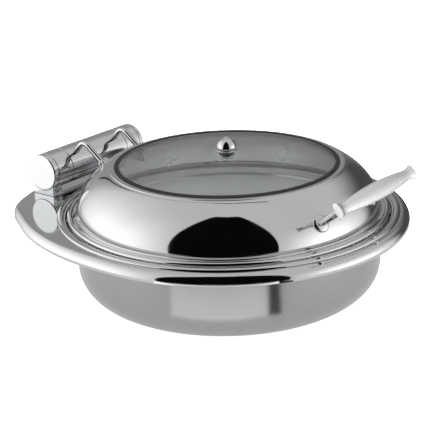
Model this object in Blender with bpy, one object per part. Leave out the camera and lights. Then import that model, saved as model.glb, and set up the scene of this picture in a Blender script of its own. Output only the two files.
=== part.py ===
"""Round roll-top chafing dish: water pan, oval deck, food pan and a hinged lid with a glass window.

Metres, +Z up. The origin is the centre of the underside, the handle faces -Y and the hinge is at +Y.
"""
import math

import bmesh
import bpy
from mathutils import Matrix, Vector

# Driving dimensions
PAN_R = 0.190                 # outside of the water pan's wall
PAN_CORNER_R = 0.041          # round between the pan's wall and its bottom
PAN_BOTTOM = 0.0033           # height of the pan's underside over the base disc
DECK_Z = 0.106                # top of the deck
DECK_HALF_X = 0.2265          # the deck is a half circle in front ...
DECK_REAR_Y = 0.281           # ... and a longer half oval behind
DECK_REAR_POWER = 2.18
DECK_CORNER = 0.0069          # the oval's two soft corners stand out by this much ...
DECK_CORNER_ANGLE = 61.2      # ... this many degrees round from the sides ...
DECK_CORNER_SPREAD = 8.0      # ... fading away over so many degrees
DECK_HOLE_R = 0.2050
DECK_ROLL_R = 0.010
DECK_SKIRT = 0.013
SEAT_TOP = DECK_Z - 0.0030    # ledge inside the water pan's rim that the food pan hangs on
SHEET = 0.0012                # steel sheet
GAP = 0.0003                  # clearance between neighbours

FOOD_WALL_R = 0.183
FOOD_RIM_R = 0.2010
FOOD_DEPTH = 0.065
FOOD_CORNER_R = 0.025
FOOD_RIM_TOP = SEAT_TOP + 0.0015
BRIM_LOW = DECK_Z + 0.0015    # underside of the lid's brim

WINDOW_STEEL_R = 0.1373       # edge of the lid's opening
WINDOW_Z = 0.0602             # height of that edge over the deck
GLASS_R = 0.1362
GLASS_THICK = 0.004
GLASS_RISE = 0.0155           # the window is domed by this much

HINGE_Y = 0.2353
HINGE_Z = DECK_Z + 0.0302
HINGE_R = 0.0243
HINGE_WALL = 0.0030
BARREL_HALF = 0.0540          # the middle of the cylinder turns
HOUSING_END = 0.0850          # the fixed ends reach to here, then come the caps
CAP_END = 0.0892
SHAFT_R = 0.006
ARM_X = 0.038
ARM_R = 0.0034
ARM_FOOT = (0.1735, DECK_Z + 0.0400)    # y, z of the arm's foot
ARM_APEX = (0.2060, DECK_Z + 0.0655)
POST_X = (0.0720, 0.0880)
POST_HALF_Y = 0.018
POST_SCREW_Y = 0.0099         # the post's two screws stand this far either side of the hinge's axis
LUG_HALF = 0.0020             # half the thickness of the ear that an arm is bolted to
LUG_TOP_R = 0.0062

GRIP_Y, GRIP_Z = -0.2136, DECK_Z + 0.0601
GRIP_HALF = 0.0835
GRIP_FLAT = 0.50              # the grip's section is an oval, this much thinner along the legs
LEG_X = 0.0550                # where a leg leaves the lid ...
LEG_REACH = 0.1810            # ... at this radius
LEG_FOOT_Z = DECK_Z + 0.0290
LEG_END_GAP = 0.0010          # the leg stops this far short of the grip's axis
LEG_R = 0.0044
LEG_SPLAY = 0.0130            # the leg ends this much further out
ESCUTCHEON_R = 0.0120

RING_STEPS = 36
AXIS_X = Matrix.Rotation(math.radians(90), 4, "Y")     # local +Z becomes row +X

MATERIALS = {
    "mirror_steel": ((0.80, 0.80, 0.81), 0.06, 1.0),
    "satin_steel": ((0.60, 0.60, 0.61), 0.30, 1.0),
    "blasted_steel": ((0.74, 0.74, 0.75), 0.35, 1.0),
    "pan_steel": ((0.62, 0.62, 0.63), 0.22, 1.0),
    "black_silicone": ((0.02, 0.02, 0.02), 0.55, 0.0),
    "glass": ((0.75, 0.78, 0.78), 0.02, 0.0),
    "zinc_steel": ((0.55, 0.56, 0.58), 0.35, 1.0),
    "spring_steel": ((0.30, 0.30, 0.31), 0.35, 1.0),
    "damper_plastic": ((0.05, 0.05, 0.05), 0.45, 0.0),
    "bush_plastic": ((0.80, 0.79, 0.74), 0.50, 0.0),
}


# ---- small helpers -------------------------------------------------------------------------------
def clear_scene():
    for old in list(bpy.data.objects):
        bpy.data.objects.remove(old, do_unlink=True)


def material(name):
    found = bpy.data.materials.get(name)
    if found:
        return found
    colour, roughness, metallic = MATERIALS[name]
    made = bpy.data.materials.new(name)
    made.use_nodes = True
    shader = made.node_tree.nodes["Principled BSDF"]
    shader.inputs["Base Color"].default_value = (*colour, 1.0)
    shader.inputs["Roughness"].default_value = roughness
    shader.inputs["Metallic"].default_value = metallic
    return made


def add_object(name, data, finish, parent=None, place=None):
    made = bpy.data.objects.new(name, data)
    bpy.context.scene.collection.objects.link(made)
    made.data.materials.append(material(finish))
    if parent:
        made.parent = parent
        made.matrix_parent_inverse = parent.matrix_world.inverted()
    if place is not None:
        made.matrix_world = place
    return made


def finish_mesh(bm, name, smooth_angle=40):
    bmesh.ops.recalc_face_normals(bm, faces=bm.faces)
    if bm.calc_volume(signed=True) < 0:
        bmesh.ops.reverse_faces(bm, faces=bm.faces)
    mesh = bpy.data.meshes.new(name)
    bm.to_mesh(mesh)
    bm.free()
    mesh.shade_smooth()
    mesh.set_sharp_from_angle(angle=math.radians(smooth_angle))
    return mesh


def turned(name, profile, steps=RING_STEPS, closed=True):
    """Mesh of a profile of (radius, height) points spun round local Z."""
    bm = bmesh.new()
    verts = [bm.verts.new((r, 0.0, z)) for r, z in profile]
    edges = [bm.edges.new(pair) for pair in zip(verts, verts[1:])]
    if closed:
        edges.append(bm.edges.new((verts[-1], verts[0])))
    bmesh.ops.spin(bm, geom=verts + edges, cent=(0, 0, 0), axis=(0, 0, 1),
                   angle=math.tau, steps=steps, use_merge=True)
    bmesh.ops.remove_doubles(bm, verts=bm.verts, dist=1e-6)
    return finish_mesh(bm, name)


def solid_profile(points):
    """Close a (radius, height) outline that starts and ends on the axis."""
    return [(0.0, points[0][1])] + list(points) + [(0.0, points[-1][1])]


def ring_profile(inner_r, outer_r, low, high, bevel=0.0):
    if not bevel:
        return [(inner_r, low), (outer_r, low), (outer_r, high), (inner_r, high)]
    return [(inner_r, low), (outer_r - bevel, low), (outer_r, low + bevel),
            (outer_r, high - bevel), (outer_r - bevel, high), (inner_r, high)]


def arc(centre, radius, start, end, steps):
    """Points of an arc in degrees, as (radius, height) pairs."""
    turn = [math.radians(start + (end - start) * i / steps) for i in range(steps + 1)]
    return [(centre[0] + radius * math.cos(a), centre[1] + radius * math.sin(a)) for a in turn]


def bezier(p0, p1, p2, p3, steps):
    points = []
    for i in range(steps + 1):
        t = i / steps
        weights = ((1 - t) ** 3, 3 * t * (1 - t) ** 2, 3 * t * t * (1 - t), t ** 3)
        points.append(tuple(sum(w * p[k] for w, p in zip(weights, (p0, p1, p2, p3))) for k in (0, 1)))
    return points


def bar(name, radius, low, high, steps, bevel=0.0):
    """A solid round bar along local Z."""
    if not bevel:
        return turned(name, solid_profile([(radius, low), (radius, high)]), steps, closed=False)
    outline = [(radius - bevel, low), (radius, low + bevel), (radius, high - bevel), (radius - bevel, high)]
    return turned(name, solid_profile(outline), steps, closed=False)


def box_mesh(name, low, high):
    bm = bmesh.new()
    bmesh.ops.create_cube(bm, size=1.0)
    low, high = Vector(low), Vector(high)
    for vert in bm.verts:
        vert.co = Vector((low[k] + (vert.co[k] + 0.5) * (high[k] - low[k]) for k in range(3)))
    return finish_mesh(bm, name)


def rod_curve(name, points, radius, resolution):
    """A bent round rod through the given points, with filled ends."""
    curve = bpy.data.curves.new(name, "CURVE")
    curve.dimensions = "3D"
    curve.bevel_depth = radius
    curve.bevel_resolution = resolution
    curve.use_fill_caps = True
    spline = curve.splines.new("POLY")
    spline.points.add(len(points) - 1)
    for point, place in zip(spline.points, points):
        point.co = (*place, 1.0)
    return curve


def cutter(name, mesh, place=None):
    guide = bpy.data.objects.new(name, mesh)
    bpy.context.scene.collection.objects.link(guide)
    if place is not None:
        guide.matrix_world = place
    guide.hide_render = True
    guide.display_type = "WIRE"
    return guide


def cut(target, guide):
    change = target.modifiers.new("cut " + guide.name, "BOOLEAN")
    change.operation = "DIFFERENCE"
    change.solver = "EXACT"
    change.object = guide


def shell(target):
    """Give a turned sheet its thickness, inwards from the surface that its faces point out of."""
    wall = target.modifiers.new("sheet", "SOLIDIFY")
    wall.thickness = SHEET
    wall.offset = -1.0
    wall.use_even_offset = True


def along(direction, place):
    """Matrix that puts local +Z along a direction at a place."""
    turn = Vector(direction).to_track_quat("Z", "Y").to_matrix().to_4x4()
    return Matrix.Translation(place) @ turn


# ---- water pan, deck and food pan ----------------------------------------------------------------
def make_base():
    outline = [(0.108, 0.0), (0.110, 0.001), (0.110, PAN_BOTTOM - GAP)]
    add_object("induction_disc", turned("induction_disc", solid_profile(outline), closed=False), "zinc_steel")


def make_water_pan():
    corner = arc((PAN_R - PAN_CORNER_R, PAN_BOTTOM + PAN_CORNER_R), PAN_CORNER_R, -90, 0, 5)
    ledge = SEAT_TOP - SHEET
    lap = DECK_Z + GAP
    rim = [(PAN_R, ledge - 0.001), (PAN_R + 0.001, ledge), (0.2036, ledge), (0.2036, lap), (0.2058, lap),
           (0.2078, lap + 0.0020), (0.2112, lap + 0.0023), (0.2145, lap - 0.0001)]
    outline = [(0.0, PAN_BOTTOM)] + corner + rim
    pan = add_object("water_pan", turned("water_pan", outline, closed=False), "satin_steel")
    shell(pan)


def deck_outline(angle, inset):
    """Point of the deck's edge, moved in by an inset: a half circle in front, a cornered oval behind."""
    c, s = math.cos(angle), math.sin(angle)
    reach = DECK_HALF_X
    if s > 0:
        power = DECK_REAR_POWER
        reach = (abs(c / DECK_HALF_X) ** power + abs(s / DECK_REAR_Y) ** power) ** (-1 / power)
        turn = math.degrees(math.atan2(s, abs(c))) - DECK_CORNER_ANGLE
        reach += DECK_CORNER * math.exp(-(turn / DECK_CORNER_SPREAD) ** 2)
    return (reach - inset) * c, (reach - inset) * s


def make_deck():
    steps = RING_STEPS + 8
    roll = [math.radians(30 * i) for i in range(4)]
    outer = [(DECK_ROLL_R * (1 - math.sin(a)), -DECK_ROLL_R * (1 - math.cos(a))) for a in roll]
    inner_r = DECK_ROLL_R - SHEET
    inner = [(DECK_ROLL_R - inner_r * math.sin(a), -DECK_ROLL_R + inner_r * math.cos(a)) for a in roll]
    section = [None] + outer + [(0.0, -DECK_SKIRT), (SHEET, -DECK_SKIRT)] + inner[::-1] + [None]
    bm = bmesh.new()
    rings = []
    for index, entry in enumerate(section):
        ring = []
        for step in range(steps):
            angle = math.tau * step / steps
            if entry is None:
                height = 0.0 if index == 0 else -SHEET
                x, y = DECK_HOLE_R * math.cos(angle), DECK_HOLE_R * math.sin(angle)
            else:
                height = entry[1]
                x, y = deck_outline(angle, entry[0])
            ring.append(bm.verts.new((x, y, DECK_Z + height)))
        rings.append(ring)
    for here, there in zip(rings, rings[1:] + rings[:1]):
        for step in range(steps):
            after = (step + 1) % steps
            bm.faces.new((here[step], here[after], there[after], there[step]))
    deck = add_object("deck", finish_mesh(bm, "deck"), "mirror_steel")
    for side in (-1, 1):
        for front in (-1, 1):
            cut(deck, post_screw_cutter("deck_hole", side, front, 0.0033, DECK_Z - 0.004, DECK_Z + 0.002))


def make_food_pan():
    bottom = FOOD_RIM_TOP - FOOD_DEPTH
    corner = arc((FOOD_WALL_R - FOOD_CORNER_R, bottom + FOOD_CORNER_R), FOOD_CORNER_R, -90, 0, 3)
    rim = [(FOOD_WALL_R, FOOD_RIM_TOP - SHEET), (FOOD_RIM_R, FOOD_RIM_TOP - SHEET)]
    pan = turned("food_pan", [(0.0, bottom)] + corner + rim, closed=False)
    shell(add_object("food_pan", pan, "pan_steel"))


# ---- lid -----------------------------------------------------------------------------------------
def lid_section():
    """Outer face of the lid's dome, from the window to the foot of the dome, as (radius, height)."""
    top = [(WINDOW_STEEL_R, WINDOW_Z), (0.1460, WINDOW_Z), (0.1478, WINDOW_Z - 0.0012)]
    shoulder = bezier((0.1478, 0.0590), (0.1600, 0.0530), (0.1875, 0.0360), (0.1888, 0.0075), 6)
    return [(r, DECK_Z + z) for r, z in top + shoulder[1:]]


def dome_cutter(name):
    """Solid just over the lid's dome: whatever stands on the dome is cut with it."""
    section = [(r + GAP, z + GAP) for r, z in lid_section()]
    outline = solid_profile([(section[-1][0], DECK_Z - 0.01)] + section[::-1])
    return cutter(name, turned(name, outline, closed=False))


def make_lid(hinge):
    foot = BRIM_LOW + SHEET
    brim = [(0.1905, foot + 0.0006), (0.1950, foot), (0.1968, foot + 0.0018), (0.2000, foot + 0.0020),
            (0.2018, foot - 0.0002)]
    outline = lid_section() + brim
    lid = add_object("lid_shell", turned("lid_shell", outline, closed=False), "mirror_steel", hinge)
    shell(lid)
    for side in (-1, 1):
        place, direction, _ = leg_axis(side)
        hole = bar("leg_hole", 0.0035, -0.010, 0.010, 10)
        cut(lid, cutter("leg_hole_%d" % side, hole, along(direction, place)))


def make_window(hinge):
    top = DECK_Z + WINDOW_Z
    steel_low = top - SHEET - GAP
    glass_low = top - GLASS_THICK - 2 * GAP
    section = [(0.1330, glass_low - 0.0016), (0.1402, glass_low - 0.0016), (0.1402, steel_low),
               (0.1370, steel_low), (0.1370, top + GAP), (0.1402, top + GAP), (0.1402, top + 0.0014),
               (0.1350, top + 0.0018), (0.1348, top), (0.1365, top), (0.1365, glass_low), (0.1330, glass_low)]
    add_object("window_gasket", turned("window_gasket", section), "black_silicone", hinge)
    rise = bowl_points(GLASS_R, GLASS_RISE, 4)
    low = [(r, glass_low + GAP + z) for r, z in rise]
    high = [(r, glass_low + GAP + GLASS_THICK - GAP + z) for r, z in rise[::-1]]
    add_object("window_glass", turned("window_glass", low + high, closed=False), "glass", hinge)


def bowl_points(radius, rise, steps):
    """A shallow dome from its crown to its edge, level over the outermost step."""
    flat_r = radius - 0.0030
    sphere = (flat_r ** 2 + rise ** 2) / (2 * rise)
    radii = [flat_r * i / steps for i in range(steps + 1)]
    points = [(r, math.sqrt(sphere ** 2 - r ** 2) - (sphere - rise)) for r in radii]
    return points + [(radius, 0.0)]


def glass_crown():
    """Heights of the glass's underside and top at its centre."""
    low = DECK_Z + WINDOW_Z - GLASS_THICK - GAP + GLASS_RISE
    return low, low + GLASS_THICK - GAP


def make_knob(hinge):
    low, high = glass_crown()
    base = high + GAP
    washer = ring_profile(0.0033, 0.0130, base, base + 0.0016, 0.0004)
    add_object("knob_washer", turned("knob_washer", washer, 16), "mirror_steel", hinge)
    seat = base + 0.0016 + GAP
    dome = [(0.0112, seat), (0.0114, seat + 0.0015)]
    dome += arc((0.0, seat + 0.0030), 0.0114, 8, 74, 5)
    dome += [(0.0026, seat + 0.0143), (0.0022, seat + 0.0158), (0.0012, seat + 0.0163)]
    add_object("knob", turned("knob", solid_profile(dome), 16, closed=False), "mirror_steel", hinge)
    soft = ring_profile(0.0033, 0.0100, low - GAP - 0.0015, low - GAP)
    add_object("knob_soft_washer", turned("knob_soft_washer", soft, 16), "black_silicone", hinge)
    nut = ring_profile(0.0039, 0.0080, low - 2 * GAP - 0.0060, low - 2 * GAP - 0.0015, 0.0006)
    add_object("knob_nut", turned("knob_nut", nut, 6), "mirror_steel", hinge)
    glass = bpy.data.objects["window_glass"]
    cut(glass, cutter("knob_hole", bar("knob_hole", 0.0033, low - 0.01, high + 0.01, 12)))
    stud = bar("knob_stud", 0.0030, low - 0.0085, seat - GAP, 12)
    add_object("knob_stud", stud, "zinc_steel", hinge)


def make_buffers(hinge):
    """Soft buffers under the lid's brim, which come down on the food pan's rim."""
    for index, angle in enumerate((45, 135, 225, 315), start=1):
        place = Matrix.Rotation(math.radians(angle), 4, "Z") @ Matrix.Translation((0.1930, 0, 0))
        pad = bar("lid_buffer", 0.0024, FOOD_RIM_TOP + GAP, BRIM_LOW - GAP, 10)
        add_object("lid_buffer_%d" % index, pad, "black_silicone", hinge, place)


# ---- handle --------------------------------------------------------------------------------------
def leg_axis(side):
    """Where a handle leg leaves the dome, its direction out to the grip, and its length."""
    start = Vector((side * LEG_X, -math.sqrt(LEG_REACH ** 2 - LEG_X ** 2), LEG_FOOT_Z))
    end = Vector((side * (LEG_X + LEG_SPLAY), GRIP_Y, GRIP_Z))
    return start, (end - start).normalized(), (end - start).length - LEG_END_GAP


def make_handle(hinge):
    half = [(0.0, 0.0106), (0.022, 0.0102), (0.040, 0.0092), (0.055, 0.0080), (0.067, 0.0069),
            (0.075, 0.0073), (0.0800, 0.0088), (0.0830, 0.0100), (GRIP_HALF, 0.0094)]
    section = [(r, -x) for x, r in reversed(half)] + [(r, x) for x, r in half[1:]]
    place = Matrix.Translation((0, GRIP_Y, GRIP_Z)) @ AXIS_X
    mesh = turned("handle_grip", solid_profile(section), 16, closed=False)
    outward = place.inverted().to_3x3() @ leg_axis(1)[1]
    mesh.transform(Matrix.Scale(GRIP_FLAT, 4, Vector((outward.x, outward.y, 0)).normalized()))
    grip = add_object("handle_grip", mesh, "blasted_steel", hinge, place)
    dome = dome_cutter("escutcheon_dome")
    for side, word in ((-1, "left"), (1, "right")):
        start, direction, length = leg_axis(side)
        frame = along(direction, start)
        sink = cutter("leg_socket_" + word, bar("leg_socket", LEG_R + GAP, 0.01, length, 12), frame)
        cut(grip, sink)
        stud = solid_profile([(0.0030, -0.0100), (0.0030, 0.0040), (LEG_R, 0.0040), (LEG_R, length - GAP)])
        add_object("handle_leg_" + word, turned("handle_leg", stud, 12, closed=False), "mirror_steel",
                   hinge, frame)
        cap = [(0.0033, -0.0040), (ESCUTCHEON_R, -0.0040), (ESCUTCHEON_R, 0.0016), (0.0095, 0.0032),
               (0.0033, 0.0037)]
        plate = add_object("handle_escutcheon_" + word, turned("handle_escutcheon", cap, 16),
                           "mirror_steel", hinge, frame)
        cut(plate, dome)
        nut = ring_profile(0.0039, 0.0060, -0.0085, -0.0045, 0.0005)
        add_object("handle_nut_" + word, turned("handle_nut", nut, 6), "zinc_steel", hinge, frame)


# ---- hinge ---------------------------------------------------------------------------------------
def hinge_place(side=1):
    """Local +Z out along the hinge's axis, towards the side given."""
    outward = AXIS_X if side > 0 else AXIS_X @ Matrix.Rotation(math.pi, 4, "X")
    return Matrix.Translation((0.0, HINGE_Y, HINGE_Z)) @ outward


def make_barrel(hinge):
    inner_r = HINGE_R - HINGE_WALL
    tube = ring_profile(inner_r, HINGE_R, -BARREL_HALF, BARREL_HALF)
    add_object("hinge_barrel", turned("hinge_barrel", tube, 28), "mirror_steel", hinge, hinge_place())
    bush_r = inner_r - GAP
    for word, low in (("left", -BARREL_HALF + 0.0010), ("right", 0.0300)):
        bush = ring_profile(SHAFT_R + GAP, bush_r, low, low + 0.0100)
        add_object("hinge_bush_" + word, turned("hinge_bush", bush, 16), "bush_plastic", hinge, hinge_place())
    rotor = solid_profile([(bush_r, 0.0440), (bush_r, BARREL_HALF - 0.0010), (0.0050, BARREL_HALF - 0.0010),
                           (0.0050, 0.0660)])
    add_object("damper_rotor", turned("damper_rotor", rotor, 16, closed=False), "zinc_steel", hinge,
               hinge_place())


def make_fixed_hinge():
    inner_r = HINGE_R - HINGE_WALL
    start = BARREL_HALF + 0.0005
    wall_end = start + 0.0035
    cup = [(SHAFT_R + GAP, start), (HINGE_R, start), (HINGE_R, HOUSING_END), (inner_r, HOUSING_END),
           (inner_r, wall_end), (SHAFT_R + GAP, wall_end)]
    plug = [(inner_r - GAP, HOUSING_END - 0.0040), (inner_r - GAP, HOUSING_END + GAP),
            (HINGE_R, HOUSING_END + GAP), (HINGE_R, CAP_END - 0.0008), (HINGE_R - 0.0008, CAP_END)]
    for side, word in ((-1, "left"), (1, "right")):
        place = hinge_place(side)
        add_object("hinge_housing_" + word, turned("hinge_housing", cup, 28), "mirror_steel", place=place)
        add_object("hinge_cap_" + word, turned("hinge_cap", solid_profile(plug), 28, closed=False),
                   "mirror_steel", place=place)
        make_post(side, word)
    shaft = bar("hinge_shaft", SHAFT_R, -0.0790, 0.0405, 16, 0.0004)
    add_object("hinge_shaft", shaft, "zinc_steel", place=hinge_place())
    block = ring_profile(0.0053, inner_r - GAP, wall_end + GAP, HOUSING_END - 0.0045)
    add_object("damper_body", turned("damper_body", block, 16), "damper_plastic", place=hinge_place())
    coil = []
    turns, per_turn, coil_r = 5, 12, 0.0105
    for i in range(turns * per_turn + 1):
        angle = math.tau * i / per_turn
        x = -0.0360 + 0.0600 * i / (turns * per_turn)
        coil.append((x, HINGE_Y + coil_r * math.cos(angle), HINGE_Z + coil_r * math.sin(angle)))
    add_object("torsion_spring", rod_curve("torsion_spring", coil, 0.0013, 0), "spring_steel")


def post_screw_place(side, front):
    x = side * (POST_X[0] + POST_X[1]) / 2
    return Matrix.Translation((x, HINGE_Y + front * POST_SCREW_Y, 0))


def post_screw_cutter(name, side, front, radius, low, high):
    label = "%s_%d_%d" % (name, side, front)
    return cutter(label, bar(name, radius, low, high, 10), post_screw_place(side, front))


def make_post(side, word):
    low_x, high_x = sorted((side * POST_X[0], side * POST_X[1]))
    mesh = box_mesh("hinge_post", (low_x, HINGE_Y - POST_HALF_Y, DECK_Z + GAP),
                    (high_x, HINGE_Y + POST_HALF_Y, HINGE_Z))
    post = add_object("hinge_post_" + word, mesh, "mirror_steel")
    saddle = bar("saddle", HINGE_R + GAP, POST_X[0] - 0.02, POST_X[1] + 0.02, 28)
    cut(post, cutter("saddle_" + word, saddle, hinge_place(side)))
    for front in (-1, 1):
        cut(post, post_screw_cutter("post_hole", side, front, 0.0028, DECK_Z - 0.01, DECK_Z + 0.0055))


def make_post_fasteners():
    plate_top = DECK_Z - SHEET - GAP
    plate_low = plate_top - 0.0020
    reach = POST_X[1] + 0.002
    mesh = box_mesh("hinge_backing_plate", (-reach, HINGE_Y - 0.016, plate_low),
                    (reach, HINGE_Y + 0.016, plate_top))
    plate = add_object("hinge_backing_plate", mesh, "zinc_steel")
    for side, side_word in ((-1, "left"), (1, "right")):
        for front, front_word in ((-1, "front"), (1, "rear")):
            cut(plate, post_screw_cutter("plate_hole", side, front, 0.0033, plate_low - 0.004, DECK_Z))
            head = plate_low - GAP
            outline = solid_profile([(0.0042, head - 0.0030), (0.0050, head - 0.0024), (0.0050, head),
                                     (0.0025, head), (0.0025, DECK_Z + 0.0050)])
            add_object("post_screw_%s_%s" % (side_word, front_word),
                       turned("post_screw", outline, 12, closed=False), "zinc_steel",
                       place=post_screw_place(side, front))


# ---- arms between the hinge barrel and the lid ---------------------------------------------------
def arm_path(x):
    """The bent rod: up from the lug, round the apex, and square down onto the barrel."""
    foot, apex = Vector(ARM_FOOT), Vector(ARM_APEX)
    axis = Vector((HINGE_Y, HINGE_Z))
    down = (axis - apex).normalized()
    end = axis - down * (HINGE_R + GAP)
    back, ahead = (foot - apex).normalized(), down
    bend = 0.0110
    start, stop = apex + back * bend, apex + ahead * bend
    points = [foot]
    for i in range(7):
        t = i / 6
        points.append(start * (1 - t) ** 2 + apex * (2 * t * (1 - t)) + stop * t * t)
    points.append(end)
    return [(x, p.x, p.y) for p in points]


def make_arms(hinge):
    foot_y, foot_z = ARM_FOOT
    dome = dome_cutter("lug_dome")
    for side, word in ((-1, "left"), (1, "right")):
        x = side * ARM_X
        add_object("hinge_arm_" + word, rod_curve("hinge_arm", arm_path(x), ARM_R, 2), "mirror_steel", hinge)
        ear_x = x - side * (ARM_R + GAP + LUG_HALF)
        ear = make_lug("lid_lug_" + word, ear_x, foot_y, foot_z, hinge)
        cut(ear, dome)
        head_x = x + side * (ARM_R + GAP)
        outward = AXIS_X if side > 0 else AXIS_X @ Matrix.Rotation(math.pi, 4, "X")
        cap = [(0.0034, 0.0), (0.0034, 0.0020)] + arc((0.0, 0.0020), 0.0032, 10, 80, 3)
        nut = turned("arm_nut", solid_profile(cap), 14, closed=False)
        add_object("arm_nut_" + word, nut, "mirror_steel", hinge,
                   Matrix.Translation((head_x, foot_y + 0.0005, foot_z + 0.0005)) @ outward)


def make_lug(name, x, foot_y, foot_z, hinge):
    """An upright ear on the dome, round at the top, just inboard of the arm's foot."""
    outline = [(foot_y - 0.0100, DECK_Z + 0.0200), (foot_y + 0.0085, DECK_Z + 0.0200)]
    outline += arc((foot_y - 0.0006, foot_z - 0.0004), LUG_TOP_R, 0, 180, 9)
    bm = bmesh.new()
    face = bm.faces.new([bm.verts.new((x - LUG_HALF, y, z)) for y, z in outline])
    grown = bmesh.ops.extrude_face_region(bm, geom=[face])
    moved = [item for item in grown["geom"] if isinstance(item, bmesh.types.BMVert)]
    bmesh.ops.translate(bm, verts=moved, vec=(2 * LUG_HALF, 0, 0))
    return add_object(name, finish_mesh(bm, name), "mirror_steel", hinge)


def main():
    clear_scene()
    hinge = bpy.data.objects.new("lid_hinge_axis", None)
    bpy.context.scene.collection.objects.link(hinge)
    hinge.location = (0.0, HINGE_Y, HINGE_Z)
    bpy.context.view_layer.update()
    make_base()
    make_water_pan()
    make_deck()
    make_food_pan()
    make_lid(hinge)
    make_buffers(hinge)
    make_window(hinge)
    make_knob(hinge)
    make_handle(hinge)
    make_barrel(hinge)
    make_fixed_hinge()
    make_post_fasteners()
    make_arms(hinge)


main()
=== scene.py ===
import math
import bpy
from mathutils import Matrix, Vector


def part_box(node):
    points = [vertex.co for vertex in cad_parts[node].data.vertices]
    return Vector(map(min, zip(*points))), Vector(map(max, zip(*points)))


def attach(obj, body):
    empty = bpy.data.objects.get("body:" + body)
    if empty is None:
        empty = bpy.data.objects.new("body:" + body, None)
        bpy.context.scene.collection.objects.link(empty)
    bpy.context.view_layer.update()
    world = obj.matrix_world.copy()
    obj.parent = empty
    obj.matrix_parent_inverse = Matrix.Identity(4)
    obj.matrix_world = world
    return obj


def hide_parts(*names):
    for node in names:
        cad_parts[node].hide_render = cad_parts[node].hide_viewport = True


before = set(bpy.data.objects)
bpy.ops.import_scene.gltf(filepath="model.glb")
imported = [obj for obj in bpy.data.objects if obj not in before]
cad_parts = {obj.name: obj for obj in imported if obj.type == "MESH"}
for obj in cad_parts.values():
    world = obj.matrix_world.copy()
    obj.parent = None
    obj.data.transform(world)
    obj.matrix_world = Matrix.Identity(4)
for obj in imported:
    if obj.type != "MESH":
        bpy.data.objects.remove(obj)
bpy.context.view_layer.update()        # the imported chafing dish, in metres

mm = 0.001
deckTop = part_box("deck")[1][2] / mm          # heights and radii below are in millimetres
hingeLow, hingeHigh = [Vector(corner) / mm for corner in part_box("hinge_barrel")]
hingeY = (hingeLow.y + hingeHigh.y) / 2
hingeZ = (hingeLow.z + hingeHigh.z) / 2
hingeR = (hingeHigh.z - hingeLow.z) / 2
gripLow, gripHigh = [Vector(corner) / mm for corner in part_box("handle_grip")]
gripY = (gripLow.y + gripHigh.y) / 2
gripZ = (gripLow.z + gripHigh.z) / 2
upZ = Vector((0, 0, 1))
alongX = Vector((1, 0, 0))


# small tools for working on one piece at a time

def startClean():
    if bpy.context.object and bpy.context.object.mode != "OBJECT":
        bpy.ops.object.mode_set(mode="OBJECT")
    bpy.ops.object.select_all(action="DESELECT")


def makeActive(piece):
    startClean()
    piece.select_set(True)
    bpy.context.view_layer.objects.active = piece


def applyModifier(piece, kind, **settings):
    makeActive(piece)
    bpy.ops.object.modifier_add(type=kind)
    modifier = piece.modifiers[-1]
    for key, value in settings.items():
        setattr(modifier, key, value)
    bpy.ops.object.modifier_apply(modifier=modifier.name)


def smooth(piece, angle=35):
    makeActive(piece)
    bpy.ops.object.shade_smooth_by_angle(angle=math.radians(angle))


def applyPlace():
    bpy.ops.object.transform_apply(location=True, rotation=True, scale=True)


def inEdit(piece):
    makeActive(piece)
    bpy.ops.object.mode_set(mode="EDIT")
    bpy.ops.mesh.select_mode(type="VERT")
    bpy.ops.mesh.select_all(action="SELECT")


def outOfEdit():
    bpy.ops.object.mode_set(mode="OBJECT")


def pickNothing(piece):
    makeActive(piece)
    for part in (piece.data.vertices, piece.data.edges, piece.data.polygons):
        for item in part:
            item.select = False


# selects the vertices whose place passes a test, and stays in edit mode
def pickVerts(piece, test):
    pickNothing(piece)
    for vert in piece.data.vertices:
        vert.select = test(vert.co)
    bpy.ops.object.mode_set(mode="EDIT")
    bpy.ops.mesh.select_mode(type="VERT")


# selects the edges that stand upright, and stays in edit mode
def pickUprights(piece):
    pickNothing(piece)
    for line in piece.data.edges:
        ends = [piece.data.vertices[i].co for i in line.vertices]
        line.select = abs(ends[0].z - ends[1].z) > mm
    bpy.ops.object.mode_set(mode="EDIT")
    bpy.ops.mesh.select_mode(type="EDGE")


def closeUp(piece):
    inEdit(piece)
    bpy.ops.mesh.remove_doubles(threshold=0.002 * mm)
    bpy.ops.mesh.normals_make_consistent(inside=False)
    outOfEdit()


# a chain of vertices through the points, pulled out of one small plane
def drawLine(name, points):
    startClean()
    points = [Vector(point) * mm for point in points]
    bpy.ops.mesh.primitive_plane_add(size=mm, location=points[0])
    piece = bpy.context.object
    piece.name = piece.data.name = name
    applyPlace()
    inEdit(piece)
    bpy.ops.mesh.merge(type="CENTER")
    for here, there in zip(points, points[1:]):
        bpy.ops.mesh.extrude_region_move(TRANSFORM_OT_translate={"value": there - here})
    outOfEdit()
    return piece


# spins an outline of (radius, height) round an axis; the seam lies behind, or on top if it is level
def turnPiece(name, outline, steps, origin=(0, 0, 0), axis=upZ):
    axis = Vector(axis).normalized()
    origin = Vector(origin)
    side = Vector((0, 1, 0)) if abs(axis.z) > 0.5 else Vector((0, 0, 1))
    side = (side - axis * side.dot(axis)).normalized()
    piece = drawLine(name, [origin + side * r + axis * h for r, h in outline])
    inEdit(piece)
    bpy.ops.mesh.spin(steps=steps, angle=math.tau, use_auto_merge=True, center=origin * mm,
                      axis=axis)
    outOfEdit()
    closeUp(piece)
    return piece


def arcLine(centreR, centreZ, radius, fromDeg, toDeg, count, squash=1.0):
    turns = [math.radians(fromDeg + (toDeg - fromDeg) * i / count) for i in range(count + 1)]
    return [(centreR + radius * math.cos(a), centreZ + squash * radius * math.sin(a))
            for a in turns]


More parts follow.
